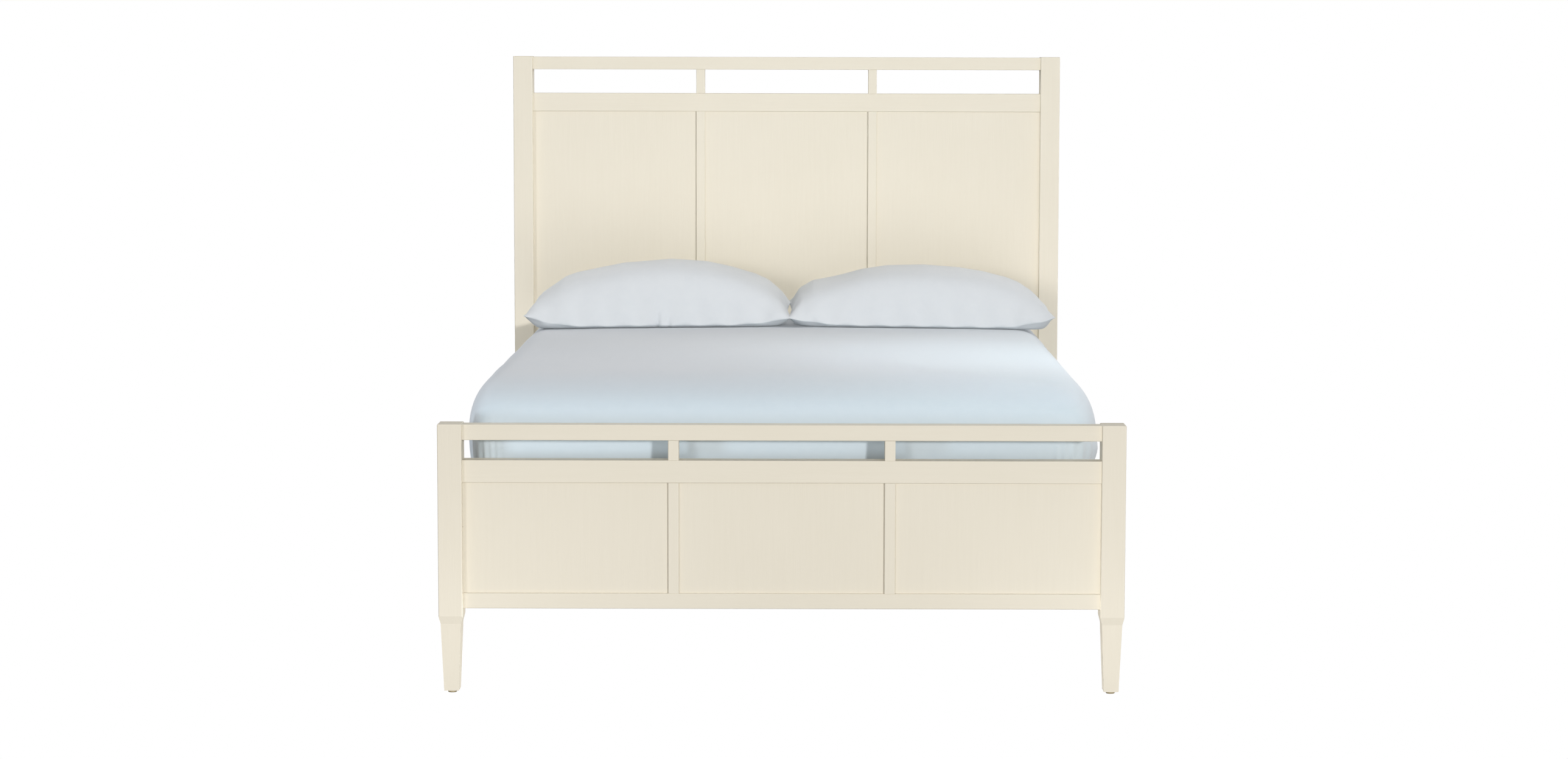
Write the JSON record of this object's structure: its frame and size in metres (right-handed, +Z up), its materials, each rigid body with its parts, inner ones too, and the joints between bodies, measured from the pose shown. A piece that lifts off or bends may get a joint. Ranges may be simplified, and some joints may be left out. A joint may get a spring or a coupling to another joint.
{
  "type": "panel bed",
  "caption": "Painted wooden panel bed with slotted headboard and footboard, tapered feet, slatted base, box spring, mattress under a fitted sheet and plump pillows",
  "frame": {"origin": "on the floor under the middle of the bed", "axes": "+X to the right seen from the foot, +Y from footboard to headboard, +Z up"},
  "size_m": [1.676, 2.22, 1.562],
  "materials": {
    "painted_wood": "satin",
    "plain_pine": "matte",
    "zinc_steel": "satin",
    "black_steel": "matte",
    "glide_plastic": "matte",
    "box_spring_ticking": "matte",
    "mattress_ticking": "matte",
    "sheet_cotton": "matte",
    "pillow_cotton": "matte"
  },
  "bodies": {
    "frame": {"beam_hangers": "black_steel", "centre_beam": "plain_pine", "centre_leg": "plain_pine", "footboard_bottom_rail": "painted_wood", "footboard_mid_rail": "painted_wood", "footboard_panel_centre": "painted_wood", "footboard_panel_left": "painted_wood", "footboard_panel_right": "painted_wood", "footboard_post_left": "painted_wood", "footboard_post_right": "painted_wood", "footboard_spacer_left": "painted_wood", "footboard_spacer_right": "painted_wood", "footboard_stile_left": "painted_wood", "footboard_stile_right": "painted_wood", "footboard_top_rail": "painted_wood", "hanger_screws": "zinc_steel", "headboard_bottom_rail": "painted_wood", "headboard_mid_rail": "painted_wood", "headboard_panel_centre": "painted_wood", "headboard_panel_left": "painted_wood", "headboard_panel_right": "painted_wood", "headboard_post_left": "painted_wood", "headboard_post_right": "painted_wood", "headboard_spacer_left": "painted_wood", "headboard_spacer_right": "painted_wood", "headboard_stile_left": "painted_wood", "headboard_stile_right": "painted_wood", "headboard_top_rail": "painted_wood", "ledger_screws": "zinc_steel", "plate_screws": "zinc_steel", "post_slot_plates": "zinc_steel", "rail_hook_plates": "zinc_steel", "side_rail_left": "painted_wood", "side_rail_right": "painted_wood", "slat_1": "plain_pine", "slat_2": "plain_pine", "slat_3": "plain_pine", "slat_4": "plain_pine", "slat_5": "plain_pine", "slat_ledger_left": "plain_pine", "slat_ledger_right": "plain_pine", "slat_screws": "zinc_steel", "threaded_inserts": "zinc_steel"},
    "leveller_centre": {"glide_centre": "glide_plastic", "glide_stem_centre": "zinc_steel"},
    "leveller_footboard_left": {"glide_footboard_left": "glide_plastic", "glide_stem_footboard_left": "zinc_steel"},
    "leveller_footboard_right": {"glide_footboard_right": "glide_plastic", "glide_stem_footboard_right": "zinc_steel"},
    "leveller_headboard_left": {"glide_headboard_left": "glide_plastic", "glide_stem_headboard_left": "zinc_steel"},
    "leveller_headboard_right": {"glide_headboard_right": "glide_plastic", "glide_stem_headboard_right": "zinc_steel"},
    "box_spring": {"box_spring": "box_spring_ticking"},
    "mattress": {"mattress": "mattress_ticking", "fitted_sheet": "sheet_cotton"},
    "pillow_left": {"pillow_left": "pillow_cotton"},
    "pillow_right": {"pillow_right": "pillow_cotton"}
  },
  "joints": [
    {"name": "leveller_centre_slide", "type": "slide", "parent": "frame", "child": "leveller_centre", "axis": [0, 0, -1], "range_m": [0, 0.012]},
    {"name": "leveller_footboard_left_slide", "type": "slide", "parent": "frame", "child": "leveller_footboard_left", "axis": [0, 0, -1], "range_m": [0, 0.012]},
    {"name": "leveller_footboard_right_slide", "type": "slide", "parent": "frame", "child": "leveller_footboard_right", "axis": [0, 0, -1], "range_m": [0, 0.012]},
    {"name": "leveller_headboard_left_slide", "type": "slide", "parent": "frame", "child": "leveller_headboard_left", "axis": [0, 0, -1], "range_m": [0, 0.012]},
    {"name": "leveller_headboard_right_slide", "type": "slide", "parent": "frame", "child": "leveller_headboard_right", "axis": [0, 0, -1], "range_m": [0, 0.012]},
    {"name": "box_spring_lift", "type": "slide", "parent": "frame", "child": "box_spring", "axis": [0, 0, 1], "range_m": [0, 0.45]},
    {"name": "mattress_lift", "type": "slide", "parent": "box_spring", "child": "mattress", "axis": [0, 0, 1], "range_m": [0, 0.35]},
    {"name": "pillow_left_lift", "type": "slide", "parent": "mattress", "child": "pillow_left", "axis": [0, 0, 1], "range_m": [0, 0.3]},
    {"name": "pillow_right_lift", "type": "slide", "parent": "mattress", "child": "pillow_right", "axis": [0, 0, 1], "range_m": [0, 0.3]}
  ]
}
